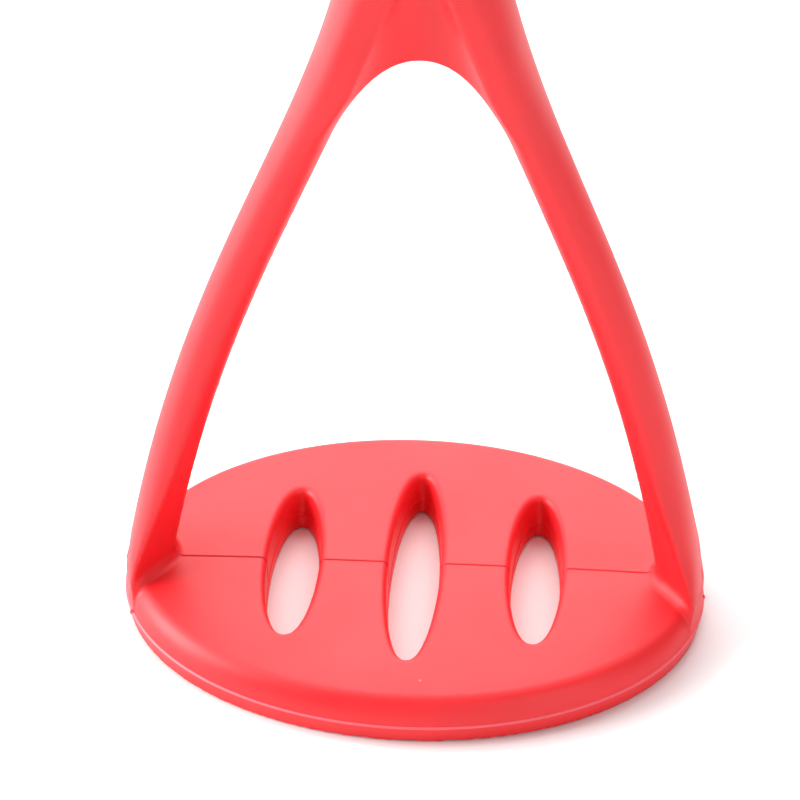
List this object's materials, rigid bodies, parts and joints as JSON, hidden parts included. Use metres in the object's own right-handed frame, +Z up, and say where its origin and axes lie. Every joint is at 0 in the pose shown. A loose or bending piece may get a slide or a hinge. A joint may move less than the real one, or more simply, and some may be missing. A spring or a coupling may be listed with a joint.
{
  "type": "potato masher",
  "caption": "Potato masher with an oval slotted silicone head on two splayed legs that meet in an arched yoke, and a waisted silicone grip with a hanging eye.",
  "frame": {"origin": "middle of the head's flat underside", "axes": "+Z up along the handle, +X along the head's long axis through both legs, +Y along the head's short axis"},
  "size_m": [0.1004, 0.077, 0.2896],
  "materials": {
    "head_silicone": "smooth moulded silicone, soft sheen",
    "grip_silicone": "fine matt moulded silicone",
    "core_steel": "mill finish",
    "trim_steel": "brushed round the axis",
    "core_nylon": "moulded nylon"
  },
  "bodies": {
    "root": {"head_overmould": "head_silicone", "core_plate": "core_steel", "left_leg_rod": "core_steel", "right_leg_rod": "core_steel", "left_foot_weld": "core_steel", "right_foot_weld": "core_steel", "yoke_gusset": "core_steel", "rod_crimp_sleeve": "core_steel", "neck_collar": "trim_steel", "handle_core": "core_nylon", "lower_cross_pin": "core_steel", "upper_cross_pin": "core_steel", "handle_grip": "grip_silicone", "end_cap": "trim_steel", "cap_pin": "core_steel"}
  },
  "joints": []
}
